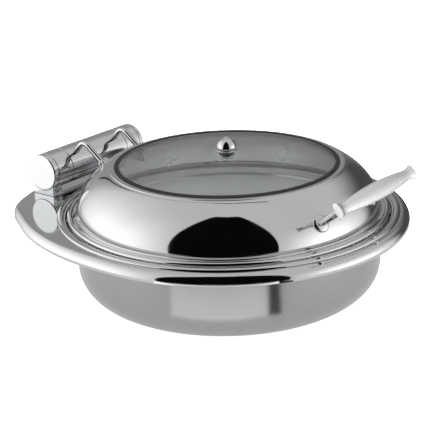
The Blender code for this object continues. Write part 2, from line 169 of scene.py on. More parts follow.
# a curve between the first and last points that leans towards the two between
def curveLine(p0, p1, p2, p3, count):
    line = []
    for i in range(count + 1):
        t = i / count
        parts = ((1 - t) ** 3, 3 * t * (1 - t) ** 2, 3 * t * t * (1 - t), t ** 3)
        line.append(tuple(sum(w * p[k] for w, p in zip(parts, (p0, p1, p2, p3)))
                          for k in (0, 1)))
    return line


# a smooth line through all the given points
def throughLine(points, count):
    full = [points[0]] + list(points) + [points[-1]]
    line = []
    for p0, p1, p2, p3 in zip(full, full[1:], full[2:], full[3:]):
        for i in range(count):
            t = i / count
            line.append(tuple(
                0.5 * (2 * b + (c - a) * t + (2 * a - 5 * b + 4 * c - d) * t * t
                       + (3 * b - a - 3 * c + d) * t ** 3)
                for a, b, c, d in zip(p0, p1, p2, p3)))
    return line + [tuple(points[-1])]


def finishPiece(piece, material, body, nodes=(), angle=35):
    smooth(piece, angle)
    piece.data.materials.clear()
    piece.data.materials.append(material)
    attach(piece, body)
    if nodes:
        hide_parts(*nodes)


def hexToLinear(code):
    values = [int(code[i:i + 2], 16) / 255 for i in (1, 3, 5)]
    return (*[v / 12.92 if v <= 0.04045 else ((v + 0.055) / 1.055) ** 2.4 for v in values], 1.0)


# adds one node; inputs are values, or (node, output) pairs that become links
def addNode(material, kind, inputs=None, **settings):
    node = material.node_tree.nodes.new(kind)
    for key, value in settings.items():
        setattr(node, key, value)
    for key, value in (inputs or {}).items():
        if isinstance(value, tuple) and len(value) == 2 and hasattr(value[0], "outputs"):
            material.node_tree.links.new(value[0].outputs[value[1]], node.inputs[key])
        else:
            node.inputs[key].default_value = value
    return node


def startMaterial(name):
    material = bpy.data.materials.new(name)
    material.use_nodes = True
    material.node_tree.nodes.clear()
    output = addNode(material, "ShaderNodeOutputMaterial")
    place = addNode(material, "ShaderNodeTexCoord")
    return material, output, place


def linkSurface(material, output, shader, name="BSDF"):
    material.node_tree.links.new(shader.outputs[name], output.inputs["Surface"])


# sizes in the material settings are in millimetres
polishedSet = {"colour": "#DBDCDD", "shade": "#D2D3D4", "roughLow": 0.03, "roughHigh": 0.10,
               "hazeLow": 0.12, "hazeHigh": 0.42, "hazeSize": 60, "wipeSize": 9,
               "wipeAlongY": 0.25, "wipeWave": 0.4, "bump": 0.02, "bumpDepth": 0.3}


# mirror-polished stainless steel: buffed, so it mirrors the room with a faint wiping haze
def makePolishedSteel():
    settings = polishedSet
    material, output, place = startMaterial("mirrorPolishedStainless")
    haze = addNode(material, "ShaderNodeTexNoise", {
        "Vector": (place, "Object"), "Scale": 1000 / settings["hazeSize"], "Detail": 3.0})
    stretch = addNode(material, "ShaderNodeMapping", {
        "Vector": (place, "Object"), "Scale": (1.0, settings["wipeAlongY"], 1.0)})
    wipe = addNode(material, "ShaderNodeTexNoise", {
        "Vector": (stretch, "Vector"), "Scale": 1000 / settings["wipeSize"], "Detail": 4.0,
        "Distortion": settings["wipeWave"]})
    both = addNode(material, "ShaderNodeMath", {0: (haze, "Fac"), 1: (wipe, "Fac")},
                   operation="MULTIPLY")
    rough = addNode(material, "ShaderNodeMapRange", {
        "Value": (both, 0), "From Min": settings["hazeLow"], "From Max": settings["hazeHigh"],
        "To Min": settings["roughLow"], "To Max": settings["roughHigh"]})
    tone = addNode(material, "ShaderNodeMix", {
        "Factor": (haze, "Fac"), 6: hexToLinear(settings["colour"]),
        7: hexToLinear(settings["shade"])}, data_type="RGBA")
    bump = addNode(material, "ShaderNodeBump", {
        "Height": (haze, "Fac"), "Strength": settings["bump"],
        "Distance": settings["bumpDepth"] * mm})
    steel = addNode(material, "ShaderNodeBsdfPrincipled", {
        "Base Color": (tone, 2), "Roughness": (rough, 0), "Normal": (bump, 0), "Metallic": 1.0})
    linkSurface(material, output, steel)
    return material


satinSet = {"colour": "#B8B8B9", "shade": "#A4A4A5", "rough": 0.24, "smoother": 0.05,
            "rougher": 0.06, "lineGap": 0.5, "lineWidth": 0.6, "bump": 0.10, "bumpDepth": 0.1,
            "anisotropy": 0.78, "quarterTurn": 0.25}


# satin stainless steel, spun and belted: fine lines run round and stretch reflections upwards
def makeSatinSteel():
    settings = satinSet
    material, output, place = startMaterial("satinSpunStainless")
    apart = addNode(material, "ShaderNodeSeparateXYZ", {0: (place, "Object")})
    flat = addNode(material, "ShaderNodeCombineXYZ", {0: (apart, "X"), 1: (apart, "Y")})
    radius = addNode(material, "ShaderNodeVectorMath", {0: (flat, 0)}, operation="LENGTH")
    around = addNode(material, "ShaderNodeVectorMath", {0: (flat, 0)}, operation="NORMALIZE")
    wide = addNode(material, "ShaderNodeVectorMath", {0: (around, 0), 3: settings["lineWidth"]},
                   operation="SCALE")
    up = addNode(material, "ShaderNodeMath", {0: (apart, "Z"), 1: (radius, 1)},
                 operation="SUBTRACT")
    tall = addNode(material, "ShaderNodeMath", {0: (up, 0), 1: 100.0}, operation="MULTIPLY")
    lift = addNode(material, "ShaderNodeCombineXYZ", {2: (tall, 0)})
    spot = addNode(material, "ShaderNodeVectorMath", {0: (wide, 0), 1: (lift, 0)},
                   operation="ADD")
    lines = addNode(material, "ShaderNodeTexNoise", {
        "Vector": (spot, 0), "Scale": 10 / settings["lineGap"], "Detail": 3.0,
        "Roughness": 0.7})
    tone = addNode(material, "ShaderNodeMix", {
        "Factor": (lines, "Fac"), 6: hexToLinear(settings["shade"]),
        7: hexToLinear(settings["colour"])}, data_type="RGBA")
    rough = addNode(material, "ShaderNodeMapRange", {
        "Value": (lines, "Fac"), "To Min": settings["rough"] - settings["smoother"],
        "To Max": settings["rough"] + settings["rougher"]})
    bump = addNode(material, "ShaderNodeBump", {
        "Height": (lines, "Fac"), "Strength": settings["bump"],
        "Distance": settings["bumpDepth"] * mm})
    tangent = addNode(material, "ShaderNodeTangent", direction_type="RADIAL", axis="Z")
    steel = addNode(material, "ShaderNodeBsdfPrincipled", {
        "Base Color": (tone, 2), "Roughness": (rough, 0), "Normal": (bump, 0), "Metallic": 1.0,
        "Tangent": (tangent, 0), "Anisotropic": settings["anisotropy"],
        "Anisotropic Rotation": settings["quarterTurn"]})
    linkSurface(material, output, steel)
    return material


grainSets = {
    "beadBlastedStainless": {"colour": "#EBEBED", "shade": "#DEDEE0", "rough": 0.27,
                             "grain": 0.7, "bump": 0.02, "metal": 0.92},
    "brightRolledStainless": {"colour": "#E2E2E3", "shade": "#D6D6D7", "rough": 0.22,
                              "grain": 6.0, "bump": 0.02, "metal": 0.62},
    "satinRolledStainless": {"colour": "#E6E6E7", "shade": "#DADADB", "rough": 0.28,
                             "grain": 3.0, "bump": 0.02, "metal": 0.62},
    "plainTurnedSteel": {"colour": "#A9A9AA", "shade": "#8F9092", "rough": 0.34,
                         "grain": 1.5, "bump": 0.06, "metal": 1.0},
    "oiledSpringSteel": {"colour": "#5A5A5C", "shade": "#47474A", "rough": 0.30,
                         "grain": 1.2, "bump": 0.05, "metal": 1.0},
    "mouldedSilicone": {"colour": "#0B0B0B", "shade": "#121212", "rough": 0.62,
                        "grain": 1.0, "bump": 0.10, "metal": 0.0},
    "mouldedNylon": {"colour": "#191919", "shade": "#222222", "rough": 0.42,
                     "grain": 0.8, "bump": 0.08, "metal": 0.0},
    "turnedAcetal": {"colour": "#D8D5CA", "shade": "#CBC8BC", "rough": 0.45,
                     "grain": 1.0, "bump": 0.05, "metal": 0.0},
}
grainShared = {"cloudsPerMetre": 30.0, "smoother": 0.05, "rougher": 0.07, "bumpDepth": 0.2}


# an even fine grain, as blasting, rolling, turning or moulding leaves it
def makeGrained(name):
    settings = grainSets[name] | grainShared
    material, output, place = startMaterial(name)
    grain = addNode(material, "ShaderNodeTexNoise", {
        "Vector": (place, "Object"), "Scale": 1000 / settings["grain"], "Detail": 2.0})
    cloud = addNode(material, "ShaderNodeTexNoise", {
        "Vector": (place, "Object"), "Scale": settings["cloudsPerMetre"], "Detail": 3.0})
    tone = addNode(material, "ShaderNodeMix", {
        "Factor": (cloud, "Fac"), 6: hexToLinear(settings["colour"]),
        7: hexToLinear(settings["shade"])}, data_type="RGBA")
    rough = addNode(material, "ShaderNodeMapRange", {
        "Value": (cloud, "Fac"), "To Min": settings["rough"] - settings["smoother"],
        "To Max": settings["rough"] + settings["rougher"]})
    bump = addNode(material, "ShaderNodeBump", {
        "Height": (grain, "Fac"), "Strength": settings["bump"],
        "Distance": settings["bumpDepth"] * mm})
    shader = addNode(material, "ShaderNodeBsdfPrincipled", {
        "Base Color": (tone, 2), "Roughness": (rough, 0), "Normal": (bump, 0),
        "Metallic": settings["metal"]})
    linkSurface(material, output, shader)
    return material


glassSet = {"tint": "#F7F8F8", "ior": 1.5, "rough": 0.01, "smear": 45, "bump": 0.03,
            "bumpDepth": 0.3}


# toughened soda-lime glass: each face lets most through and mirrors more towards its edges
def makeWindowGlass():
    settings = glassSet
    ior = settings["ior"]
    material, output, place = startMaterial("toughenedClearGlass")
    smear = addNode(material, "ShaderNodeTexNoise", {
        "Vector": (place, "Object"), "Scale": 1000 / settings["smear"], "Detail": 3.0})
    bump = addNode(material, "ShaderNodeBump", {
        "Height": (smear, "Fac"), "Strength": settings["bump"],
        "Distance": settings["bumpDepth"] * mm})
    clear = addNode(material, "ShaderNodeBsdfTransparent", {
        "Color": hexToLinear(settings["tint"])})
    shine = addNode(material, "ShaderNodeBsdfAnisotropic", {
        "Roughness": settings["rough"], "Normal": (bump, 0)})
    side = addNode(material, "ShaderNodeNewGeometry")
    ratio = addNode(material, "ShaderNodeMath", {0: (side, "Backfacing"), 1: 1 / ior - ior,
                                                 2: ior}, operation="MULTIPLY_ADD")
    mirror = addNode(material, "ShaderNodeFresnel", {"IOR": (ratio, 0)})  # both faces alike
    both = addNode(material, "ShaderNodeMixShader", {
        0: (mirror, 0), 1: (clear, 0), 2: (shine, 0)})
    linkSurface(material, output, both, "Shader")
    return material


polishedSteel = makePolishedSteel()
satinSteel = makeSatinSteel()
blastedSteel = makeGrained("beadBlastedStainless")
rolledSteel = makeGrained("brightRolledStainless")
insideSteel = makeGrained("satinRolledStainless")
turnedSteel = makeGrained("plainTurnedSteel")
springSteel = makeGrained("oiledSpringSteel")
silicone = makeGrained("mouldedSilicone")
nylon = makeGrained("mouldedNylon")
acetal = makeGrained("turnedAcetal")
windowGlassMaterial = makeWindowGlass()
print("materials made")


discSet = {"radius": 110, "edge": 1.0, "chamfer": 0.3, "steps": 128}


def makeDisc():
    settings = discSet
    low, high = [corner[2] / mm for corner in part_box("induction_disc")]
    radius, edge, chamfer = settings["radius"], settings["edge"], settings["chamfer"]
    outline = [(0, low), (radius - edge, low)]
    outline += arcLine(radius - edge, low + edge, edge, -80, 0, 4)
    outline += [(radius, high - chamfer), (radius - chamfer, high), (0, high)]
    piece = turnPiece("inductionDisc", outline, settings["steps"])
    finishPiece(piece, turnedSteel, "root", ["induction_disc"])


waterPanSet = {"wallR": 190, "cornerR": 41, "bottom": 3.3, "bottomRings": (0, 40, 100),
               "wallEnd": 20, "shoulderR": 2, "ledgeR": 203.6, "stepR": 1.3, "lapR": 1.0,
               "beadLow": 205.8, "beadHigh": 214.5, "beadRise": 2.6, "ledgeDrop": 3.0,
               "sheet": 1.2, "gap": 0.3, "polishFrom": 2.5, "steps": 192}


def makeWaterPan():
    settings = waterPanSet
    sheet, wallR, cornerR = settings["sheet"], settings["wallR"], settings["cornerR"]
    bottom, ledgeR = settings["bottom"], settings["ledgeR"]
    shoulderR, stepR, lapR = settings["shoulderR"], settings["stepR"], settings["lapR"]
    ledge = deckTop - settings["ledgeDrop"] - sheet
    lap = deckTop + settings["gap"]
    outline = [(r, bottom) for r in settings["bottomRings"]]
    outline += arcLine(wallR - cornerR, bottom + cornerR, cornerR, -90, 0, 20)
    outline += [(wallR, ledge - settings["wallEnd"])]
    outline += arcLine(wallR + shoulderR, ledge - shoulderR, shoulderR, 180, 90, 5)
    outline += arcLine(ledgeR - stepR, ledge + stepR, stepR, -90, 0, 4)
    outline += arcLine(ledgeR + lapR, lap - lapR, lapR, 180, 90, 3)
    middle = (settings["beadLow"] + settings["beadHigh"]) / 2
    half = (settings["beadHigh"] - settings["beadLow"]) / 2
    outline += arcLine(middle, lap, half, 172, 0, 14, settings["beadRise"] / half)
    piece = turnPiece("waterPan", outline, settings["steps"])
    applyModifier(piece, "SOLIDIFY", thickness=sheet * mm, offset=-1.0, use_even_offset=True)
    finishPiece(piece, satinSteel, "root", ["water_pan"])
    piece.data.materials.append(polishedSteel)
    for face in piece.data.polygons:          # the rim is polished, the bowl satin
        onRim = face.center.z > (ledge - settings["polishFrom"]) * mm
        face.material_index = 1 if onRim else 0


deckSet = {"roll": 10, "rollCuts": 12, "skirt": 13, "halfX": 226.5, "rearY": 281,
           "rearPower": 2.18, "corner": 6.9, "cornerTurn": 61.2, "cornerSpread": 8.0,
           "hole": 205.0, "sheet": 1.2, "count": 240}


# a half circle in front, and behind it an oval with two soft corners
def deckEdge(angle):
    settings = deckSet
    c, s = math.cos(angle), math.sin(angle)
    reach = settings["halfX"]
    if s > 0:
        power = settings["rearPower"]
        reach = (abs(c / settings["halfX"]) ** power
                 + abs(s / settings["rearY"]) ** power) ** (-1 / power)
        turn = math.degrees(math.atan2(s, abs(c))) - settings["cornerTurn"]
        reach += settings["corner"] * math.exp(-(turn / settings["cornerSpread"]) ** 2)
    return reach * c, reach * s


def makeDeck():
    settings = deckSet
    count = settings["count"]
    turns = [math.tau * (i + 0.5) / count for i in range(count)]
    edge = [(*deckEdge(a), deckTop) for a in turns]
    piece = drawLine("deckPlate", edge + edge[:1])
    closeUp(piece)
    startClean()
    bpy.ops.mesh.primitive_circle_add(vertices=count, radius=settings["hole"] * mm,
                                      location=(0, 0, deckTop * mm),
                                      rotation=(0, 0, math.pi / count))
    hole = bpy.context.object
    applyPlace()
    makeActive(piece)
    hole.select_set(True)
    bpy.ops.object.join()
    inEdit(piece)
    bpy.ops.mesh.select_mode(type="EDGE")
    bpy.ops.mesh.select_all(action="SELECT")
    bpy.ops.mesh.bridge_edge_loops()
    outOfEdit()
    onHole = (settings["hole"] + 0.5) * mm
    pickVerts(piece, lambda co: math.hypot(co.x, co.y) > onHole)
    bpy.ops.mesh.extrude_region_move(
        TRANSFORM_OT_translate={"value": (0, 0, -settings["skirt"] * mm)})
    outOfEdit()
    pickVerts(piece, lambda co: math.hypot(co.x, co.y) > onHole and co.z > (deckTop - 1) * mm)
    bpy.ops.mesh.bevel(offset=settings["roll"] * mm, segments=settings["rollCuts"],
                       profile=0.5, affect="EDGES")
    bpy.ops.mesh.select_all(action="SELECT")
    bpy.ops.mesh.normals_make_consistent(inside=False)
    outOfEdit()
    top = max(piece.data.polygons, key=lambda face: face.area)
    if top.normal.z < 0:                      # it has to face up before it gets its thickness
        inEdit(piece)
        bpy.ops.mesh.flip_normals()
        outOfEdit()
    applyModifier(piece, "SOLIDIFY", thickness=settings["sheet"] * mm, offset=-1.0,
                  use_even_offset=True)
    finishPiece(piece, polishedSteel, "root", ["deck"])
    applyModifier(piece, "WEIGHTED_NORMAL", keep_sharp=True, weight=60)


foodPanSet = {"wallR": 183, "rimR": 201, "depth": 65, "bottomRing": 60, "cornerR": 25,
              "shoulderDrop": 12, "shoulderIn": 1.6, "shoulderHalf": 2, "lipR": 2.4,
              "rimFlat": 2.5, "curlR": 1.0, "curlIn": 2.0, "curlDrop": 0.6, "sheet": 1.2,
              "rimTop": -1.5, "steps": 192}


def makeFoodPan():
    settings = foodPanSet
    rimTop = deckTop + settings["rimTop"]
    sheet, wallR, rimR = settings["sheet"], settings["wallR"], settings["rimR"]
    cornerR, lipR = settings["cornerR"], settings["lipR"]
    lowR = wallR - settings["shoulderIn"]
    bottom = rimTop - settings["depth"]
    under = rimTop - sheet
    shoulder, half = rimTop - settings["shoulderDrop"], settings["shoulderHalf"]
    outline = [(0, bottom), (settings["bottomRing"], bottom)]
    outline += arcLine(lowR - cornerR, bottom + cornerR, cornerR, -90, 0, 12)
    outline += curveLine((lowR, shoulder - half), (lowR, shoulder - half / 4),
                         (wallR, shoulder + half / 4), (wallR, shoulder + half), 6)
    outline += arcLine(wallR + lipR, under - lipR, lipR, 180, 90, 6)
    outline += [(rimR - settings["rimFlat"], under)]
    outline += arcLine(rimR - settings["curlIn"], under - settings["curlDrop"],
                       settings["curlR"], 70, -60, 6)
    piece = turnPiece("foodPan", outline, settings["steps"])
    applyModifier(piece, "SOLIDIFY", thickness=sheet * mm, offset=-1.0, use_even_offset=True)
    finishPiece(piece, rolledSteel, "root", ["food_pan"])


makeDisc()
makeWaterPan()
makeDeck()
makeFoodPan()
print("base made")


# dome and brim points are (radius, height above the deck)
lidSet = {"edgeR": 137.3, "windowZ": 60.2, "edgeFlat": 2, "edgeDrop": 0.25, "edgeIn": 0.3,
          "lipR": 145.6, "lipRound": 1.3, "grooveOut": 2.2, "grooveDrop": 0.2,
          "grooveR": 1.05, "dome": ((148.6, 58.7), (160.5, 53.2), (187.5, 36.0), (188.8, 7.5)),
          "footR": 188.8, "footRound": 2.0, "brimFlat": 194.6, "curlAt": 198.2,
          "curlDrop": 1.4, "curlR": 3.6, "brimLow": 1.5, "sheet": 1.2, "steps": 224}


def lidOutline():
    settings = lidSet
    top = deckTop + settings["windowZ"]
    edgeR, lipR, lipRound = settings["edgeR"], settings["lipR"], settings["lipRound"]
    footR, footRound = settings["footR"], settings["footRound"]
    outline = [(edgeR, top - settings["edgeDrop"]), (edgeR + settings["edgeIn"], top),
               (edgeR + settings["edgeFlat"], top)]
    outline += arcLine(lipR, top - lipRound, lipRound, 90, 20, 5)
    outline += arcLine(lipR + settings["grooveOut"], top - settings["grooveDrop"],
                       settings["grooveR"], 205, 262, 4)
    outline += curveLine(*[(r, deckTop + z) for r, z in settings["dome"]], 26)
    low = deckTop + settings["brimLow"] + settings["sheet"]
    outline += arcLine(footR + footRound, low + footRound, footRound, 180, 270, 5)
    outline += [(settings["brimFlat"], low)]
    outline += arcLine(settings["curlAt"], low - settings["curlDrop"], settings["curlR"],
                       156, 4, 10)
    return outline


def makeLid():
    settings = lidSet
    piece = turnPiece("lidDome", lidOutline(), settings["steps"])
    applyModifier(piece, "SOLIDIFY", thickness=settings["sheet"] * mm, offset=-1.0,
                  use_even_offset=True)
    finishPiece(piece, polishedSteel, "lid", ["lid_shell"])
    piece.data.materials.append(insideSteel)
    domeEnd = (settings["footR"] + 1) * mm
    for face in piece.data.polygons:          # polished outside, satin inside
        outward = Vector((face.center.x, face.center.y, 0)).normalized() + upZ * 0.8
        inside = face.normal.dot(outward) < 0 and face.center.xy.length < domeEnd
        face.material_index = 1 if inside else 0


# the seal's outline is (radius, height above the window's edge); it grips the sheet's edge
gasketSet = {"slot": ((135.7, -4.0), (139.4, -4.0), (140.2, -3.2), (140.2, -1.5),
                      (137.0, -1.5), (137.0, 0.25), (140.2, 0.25)),
             "slope": ((140.2, 0.3), (139.9, 0.9), (137.2, 1.6), (135.3, 1.8)),
             "seat": ((134.8, 1.6), (134.8, 1.25), (136.5, 1.2), (136.5, -3.0),
                      (135.7, -3.1), (135.7, -4.0)),
             "steps": 160}


def makeGasket():
    settings = gasketSet
    outline = list(settings["slot"]) + curveLine(*settings["slope"], 8) + list(settings["seat"])
    top = deckTop + lidSet["windowZ"]
    piece = turnPiece("windowSeal", [(r, top + z) for r, z in outline], settings["steps"])
    finishPiece(piece, silicone, "lid", ["window_gasket"])


glassShape = {"radius": 136.2, "thick": 3.7, "rise": 13.8, "rimFlat": 3, "edge": 0.8,
              "drop": 2.6, "rings": 24, "steps": 160}


def glassHeight(radius):
    flatR = glassShape["radius"] - glassShape["rimFlat"]
    rise = glassShape["rise"]
    ball = (flatR ** 2 + rise ** 2) / (2 * rise)
    return math.sqrt(ball ** 2 - min(radius, flatR) ** 2) - (ball - rise)


def makeGlass():
    settings = glassShape
    low = deckTop + lidSet["windowZ"] - settings["drop"]
    radius, thick, edge = settings["radius"], settings["thick"], settings["edge"]
    rings = settings["rings"]
    radii = [radius * i / rings for i in range(rings)] + [radius - edge]
    under = [(r, low + glassHeight(r)) for r in radii]
    rim = [(radius, low + edge), (radius, low + thick - edge)]
    over = [(r, low + thick + glassHeight(r)) for r in reversed(radii)]
    piece = turnPiece("windowPane", under + rim + over, settings["steps"])
    finishPiece(piece, windowGlassMaterial, "lid", ["window_glass"])


# foot points are (inwards from the dome's radius, height above the seat)
knobSet = {"domeR": 12.2, "foot": ((1.0, 0), (0.4, 0.3), (0, 1.4)), "domeZ": 1.9,
           "stem": (1.7, 14.2), "tip": ((1.6, 1.1), (1.2, 0.8), (0.6, 0.7), (0, 0.7)),
           "washerR": 13.0, "washerEdge": 0.7, "steps": 48}


def makeKnob():
    settings = knobSet
    low, high = [corner[2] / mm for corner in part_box("knob_washer")]
    washerR, edge, domeR = settings["washerR"], settings["washerEdge"], settings["domeR"]
    outline = [(0, low), (washerR - 0.5, low)]
    outline += arcLine(washerR - edge, (low + high) / 2, edge, -70, 70, 4) + [(0, high)]
    washer = turnPiece("knobPlate", outline, settings["steps"])
    finishPiece(washer, polishedSteel, "lid", ["knob_washer"])
    seat, top = [corner[2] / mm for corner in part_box("knob")]
    outline = [(0, seat)] + [(domeR - inset, seat + z) for inset, z in settings["foot"]]
    outline += arcLine(0, seat + settings["domeZ"], domeR, 0, 81, 18)
    outline += [(settings["stem"][0], seat + settings["stem"][1])]
    outline += [(r, top - drop) for r, drop in settings["tip"]]
    dome = turnPiece("knobDome", outline, settings["steps"])
    finishPiece(dome, polishedSteel, "lid", ["knob"])


bufferSet = {"count": 4, "round": 0.8, "steps": 24}


def makeBuffers():
    settings = bufferSet
    bend = settings["round"]
    for number in range(1, settings["count"] + 1):
        node = "lid_buffer_%d" % number
        low, high = [Vector(corner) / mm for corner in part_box(node)]
        middle = (low + high) / 2
        radius = (high.x - low.x) / 2
        outline = [(0, low.z)] + arcLine(radius - bend, low.z + bend, bend, -90, 0, 5)
        outline += [(radius, high.z), (0, high.z)]
        piece = turnPiece("lidBuffer%d" % number, outline, settings["steps"],
                          (middle.x, middle.y, 0))
        finishPiece(piece, silicone, "lid", [node])


makeLid()
makeGasket()
makeGlass()
makeKnob()
makeBuffers()
print("lid made")


# swell is (along from the middle, radius); the flared end is (radius, in from the end)
gripSet = {"half": 83.5, "steps": 64, "flat": 0.50,
           "swell": ((0, 10.6), (22, 10.2), (40, 9.2), (55, 8.0), (66, 7.0), (72, 6.95),
                     (77, 7.7), (80.5, 8.9), (82.3, 9.8)),
           "flare": ((9.95, 0.75), (9.9, 0.35), (9.5, 0.08), (8.6, 0))}


# the grip is turned along X, pressed flat, and tipped so that its flat side faces the legs
def makeGrip():
    settings = gripSet
    half = settings["half"]
    rightHalf = [(r, x) for x, r in throughLine(settings["swell"], 4)]
    rightHalf += [(r, half - inset) for r, inset in settings["flare"]]
    leftHalf = [(r, -x) for r, x in reversed(rightHalf)]
    outline = [(0, -half)] + leftHalf + rightHalf[1:] + [(0, half)]
    piece = turnPiece("gripBarrel", outline, settings["steps"], (0, 0, 0), alongX)
    inEdit(piece)
    bpy.ops.transform.resize(value=(1, 1, settings["flat"]), center_override=(0, 0, 0))
    outOfEdit()
    start, end = legLine(1)
    lean = math.atan2((end - start).z, -(end - start).y)
    piece.rotation_euler = (math.pi / 2 - lean, 0, 0)
    piece.location = (0, gripY * mm, gripZ * mm)
    makeActive(piece)
    applyPlace()
    finishPiece(piece, blastedSteel, "lid", ["handle_grip"])


# along a leg, 0 is where it meets the lid; points are (radius, along the leg)
legSet = {"mountX": 55, "mountReach": 181, "mountZ": 29, "splay": 13, "radius": 4.3,
          "tip": 0.3, "short": 1.5, "collarR": 5.6, "collarLow": -1.2, "collarHigh": 3.4,
          "collarRound": 0.8, "neck": ((4.5, 4.3), (4.3, 4.6)),
          "stud": ((0, -12), (2.7, -12), (3.0, -11.6), (3.0, -1.2)), "steps": 32}
plateSet = {"radius": 10.8, "under": ((5.0, -3.0), (10.6, -3.0), (10.8, 0.4)),
            "dome": ((10.8, 1.0), (10.2, 2.6), (8.0, 3.6), (5.3, 3.9)), "steps": 40}
legNutSet = {"outline": ((3.1, -8.4), (5.4, -8.4), (6.0, -8.0), (6.0, -4.9), (5.4, -4.5),
                         (3.1, -4.5), (3.1, -8.4)), "sides": 6}


def legLine(side):
    reach, x = legSet["mountReach"], legSet["mountX"]
    start = Vector((side * x, -math.sqrt(reach ** 2 - x ** 2), deckTop + legSet["mountZ"]))
    end = Vector((side * (x + legSet["splay"]), gripY, gripZ))
    return start, end


def makeLegs():
    settings = legSet
    radius, tip = settings["radius"], settings["tip"]
    collarR, collarRound = settings["collarR"], settings["collarRound"]
    for side, word in ((-1, "left"), (1, "right")):
        start, end = legLine(side)
        axis = (end - start).normalized()
        length = (end - start).length - settings["short"]
        outline = list(settings["stud"]) + [(collarR, settings["collarLow"]),
                                            (collarR, settings["collarHigh"])]
        outline += arcLine(collarR - collarRound, settings["collarHigh"], collarRound, 10, 90, 4)
        outline += list(settings["neck"])
        outline += [(radius, length - 0.2), (radius - tip, length), (0, length)]
        leg = turnPiece("gripLeg_" + word, outline, settings["steps"], start, axis)
        finishPiece(leg, polishedSteel, "lid", ["handle_leg_" + word])
        under = list(plateSet["under"])
        outline = under + curveLine(*plateSet["dome"], 8) + under[:1]
        plate = turnPiece("gripPlate_" + word, outline, plateSet["steps"], start, axis)
        finishPiece(plate, polishedSteel, "lid", ["handle_escutcheon_" + word])
        nut = turnPiece("gripNut_" + word, legNutSet["outline"], legNutSet["sides"], start,
                        axis)
        finishPiece(nut, turnedSteel, "lid", ["handle_nut_" + word], 20)


makeGrip()
makeLegs()
print("handle made")


hingeSet = {"wall": 3.0, "barrelHalf": 54.0, "gap": 0.5, "housingEnd": 80.8, "boreR": 6.3,
            "endWall": 3.5, "capFrom": 81.2, "capEnd": 89.2, "capRound": 2.4, "steps": 96,
            "edge": 0.35}


def makeHinge():
    settings = hingeSet
    origin = (0, hingeY, hingeZ)
    inner = hingeR - settings["wall"]
    steps, edge, half = settings["steps"], settings["edge"], settings["barrelHalf"]
    outline = [(inner, -half), (hingeR - edge, -half), (hingeR, edge - half),
               (hingeR, half - edge), (hingeR - edge, half), (inner, half), (inner, -half)]
    barrel = turnPiece("hingeTube", outline, steps, origin, alongX)
    finishPiece(barrel, polishedSteel, "lid", ["hinge_barrel"])
    start, end = half + settings["gap"], settings["housingEnd"]
    boreR, endWall = settings["boreR"], settings["endWall"]
    capLow, capHigh, bend = settings["capFrom"], settings["capEnd"], settings["capRound"]
    for side, word in ((-1, "left"), (1, "right")):
        axis = alongX * side
        outline = [(boreR, start), (hingeR - edge, start), (hingeR, start + edge),
                   (hingeR, end - edge), (hingeR - edge, end), (inner, end),
                   (inner, start + endWall), (boreR, start + endWall), (boreR, start)]
        housing = turnPiece("hingeEnd_" + word, outline, steps, origin, axis)
        finishPiece(housing, polishedSteel, "root", ["hinge_housing_" + word])
        outline = [(0, capLow), (hingeR - edge, capLow), (hingeR, capLow + edge),
                   (hingeR, capHigh - bend)]
        outline += arcLine(hingeR - bend, capHigh - bend, bend, 15, 90, 8)
        outline += [(hingeR - 4, capHigh), (0, capHigh)]
        cap = turnPiece("hingeCap_" + word, outline, steps, origin, axis)
        finishPiece(cap, polishedSteel, "root", ["hinge_cap_" + word])
        makePost(side, word)


postSet = {"low": 72, "high": 88, "halfY": 18, "edge": 1.0, "clear": 0.05, "grubX": 80,
           "grubZ": 6.2, "saddlePast": 5, "saddleGap": 0.02, "saddleEdge": 0.4}


def makePost(side, word):
    settings = postSet
    low, high, clear = settings["low"], settings["high"], settings["clear"]
    width = high - low
    height = hingeZ - deckTop - clear
    middle = Vector((side * (low + width / 2), hingeY, deckTop + clear + height / 2))
    startClean()
    bpy.ops.mesh.primitive_cube_add(size=mm, location=middle * mm)
    post = bpy.context.object
    post.name = post.data.name = "hingeFoot_" + word
    inEdit(post)
    bpy.ops.transform.resize(value=(width, 2 * settings["halfY"], height))
    outOfEdit()
    applyPlace()
    pickUprights(post)
    bpy.ops.mesh.bevel(offset=settings["edge"] * mm, segments=4, affect="EDGES")
    outOfEdit()
    past, edge = settings["saddlePast"], settings["saddleEdge"]
    radius = hingeR + settings["saddleGap"]
    outline = [(0, low - past), (radius - edge, low - past), (radius, low - past + edge),
               (radius, high + past - edge), (radius - edge, high + past), (0, high + past)]
    saddle = turnPiece("saddle", outline, hingeSet["steps"], (0, hingeY, hingeZ), alongX * side)
    applyModifier(post, "BOOLEAN", operation="DIFFERENCE", object=saddle, solver="EXACT")
    bpy.data.objects.remove(saddle, do_unlink=True)
    finishPiece(post, polishedSteel, "root", ["hinge_post_" + word])
    grub = Vector((side * settings["grubX"], hingeY - settings["halfY"],
                   deckTop + settings["grubZ"]))
    outline = [(0, -1.5), (1.9, -1.5), (1.9, 0.15), (1.6, 0.35), (1.0, 0.35), (1.0, -0.8),
               (0, -0.8)]
    screw = turnPiece("footGrub_" + word, outline, 18, grub, (0, -1, 0))
    finishPiece(screw, turnedSteel, "root", (), 25)


# a round rod along a smooth line, drawn as a curve and turned into a mesh
def bendRod(name, points, radius, rings=10):
    startClean()
    bpy.ops.curve.primitive_nurbs_path_add(location=(0, 0, 0))
    rod = bpy.context.object
    rod.name = rod.data.name = name
    rod.data.splines.clear()
    line = rod.data.splines.new("POLY")
    line.points.add(len(points) - 1)
    for point, place in zip(line.points, points):
        point.co = (*(Vector(place) * mm), 1.0)
    rod.data.bevel_depth = radius * mm
    rod.data.bevel_resolution = rings
    rod.data.use_fill_caps = True
    makeActive(rod)
    bpy.ops.object.convert(target="MESH")
    rod = bpy.context.object
    closeUp(rod)
    return rod


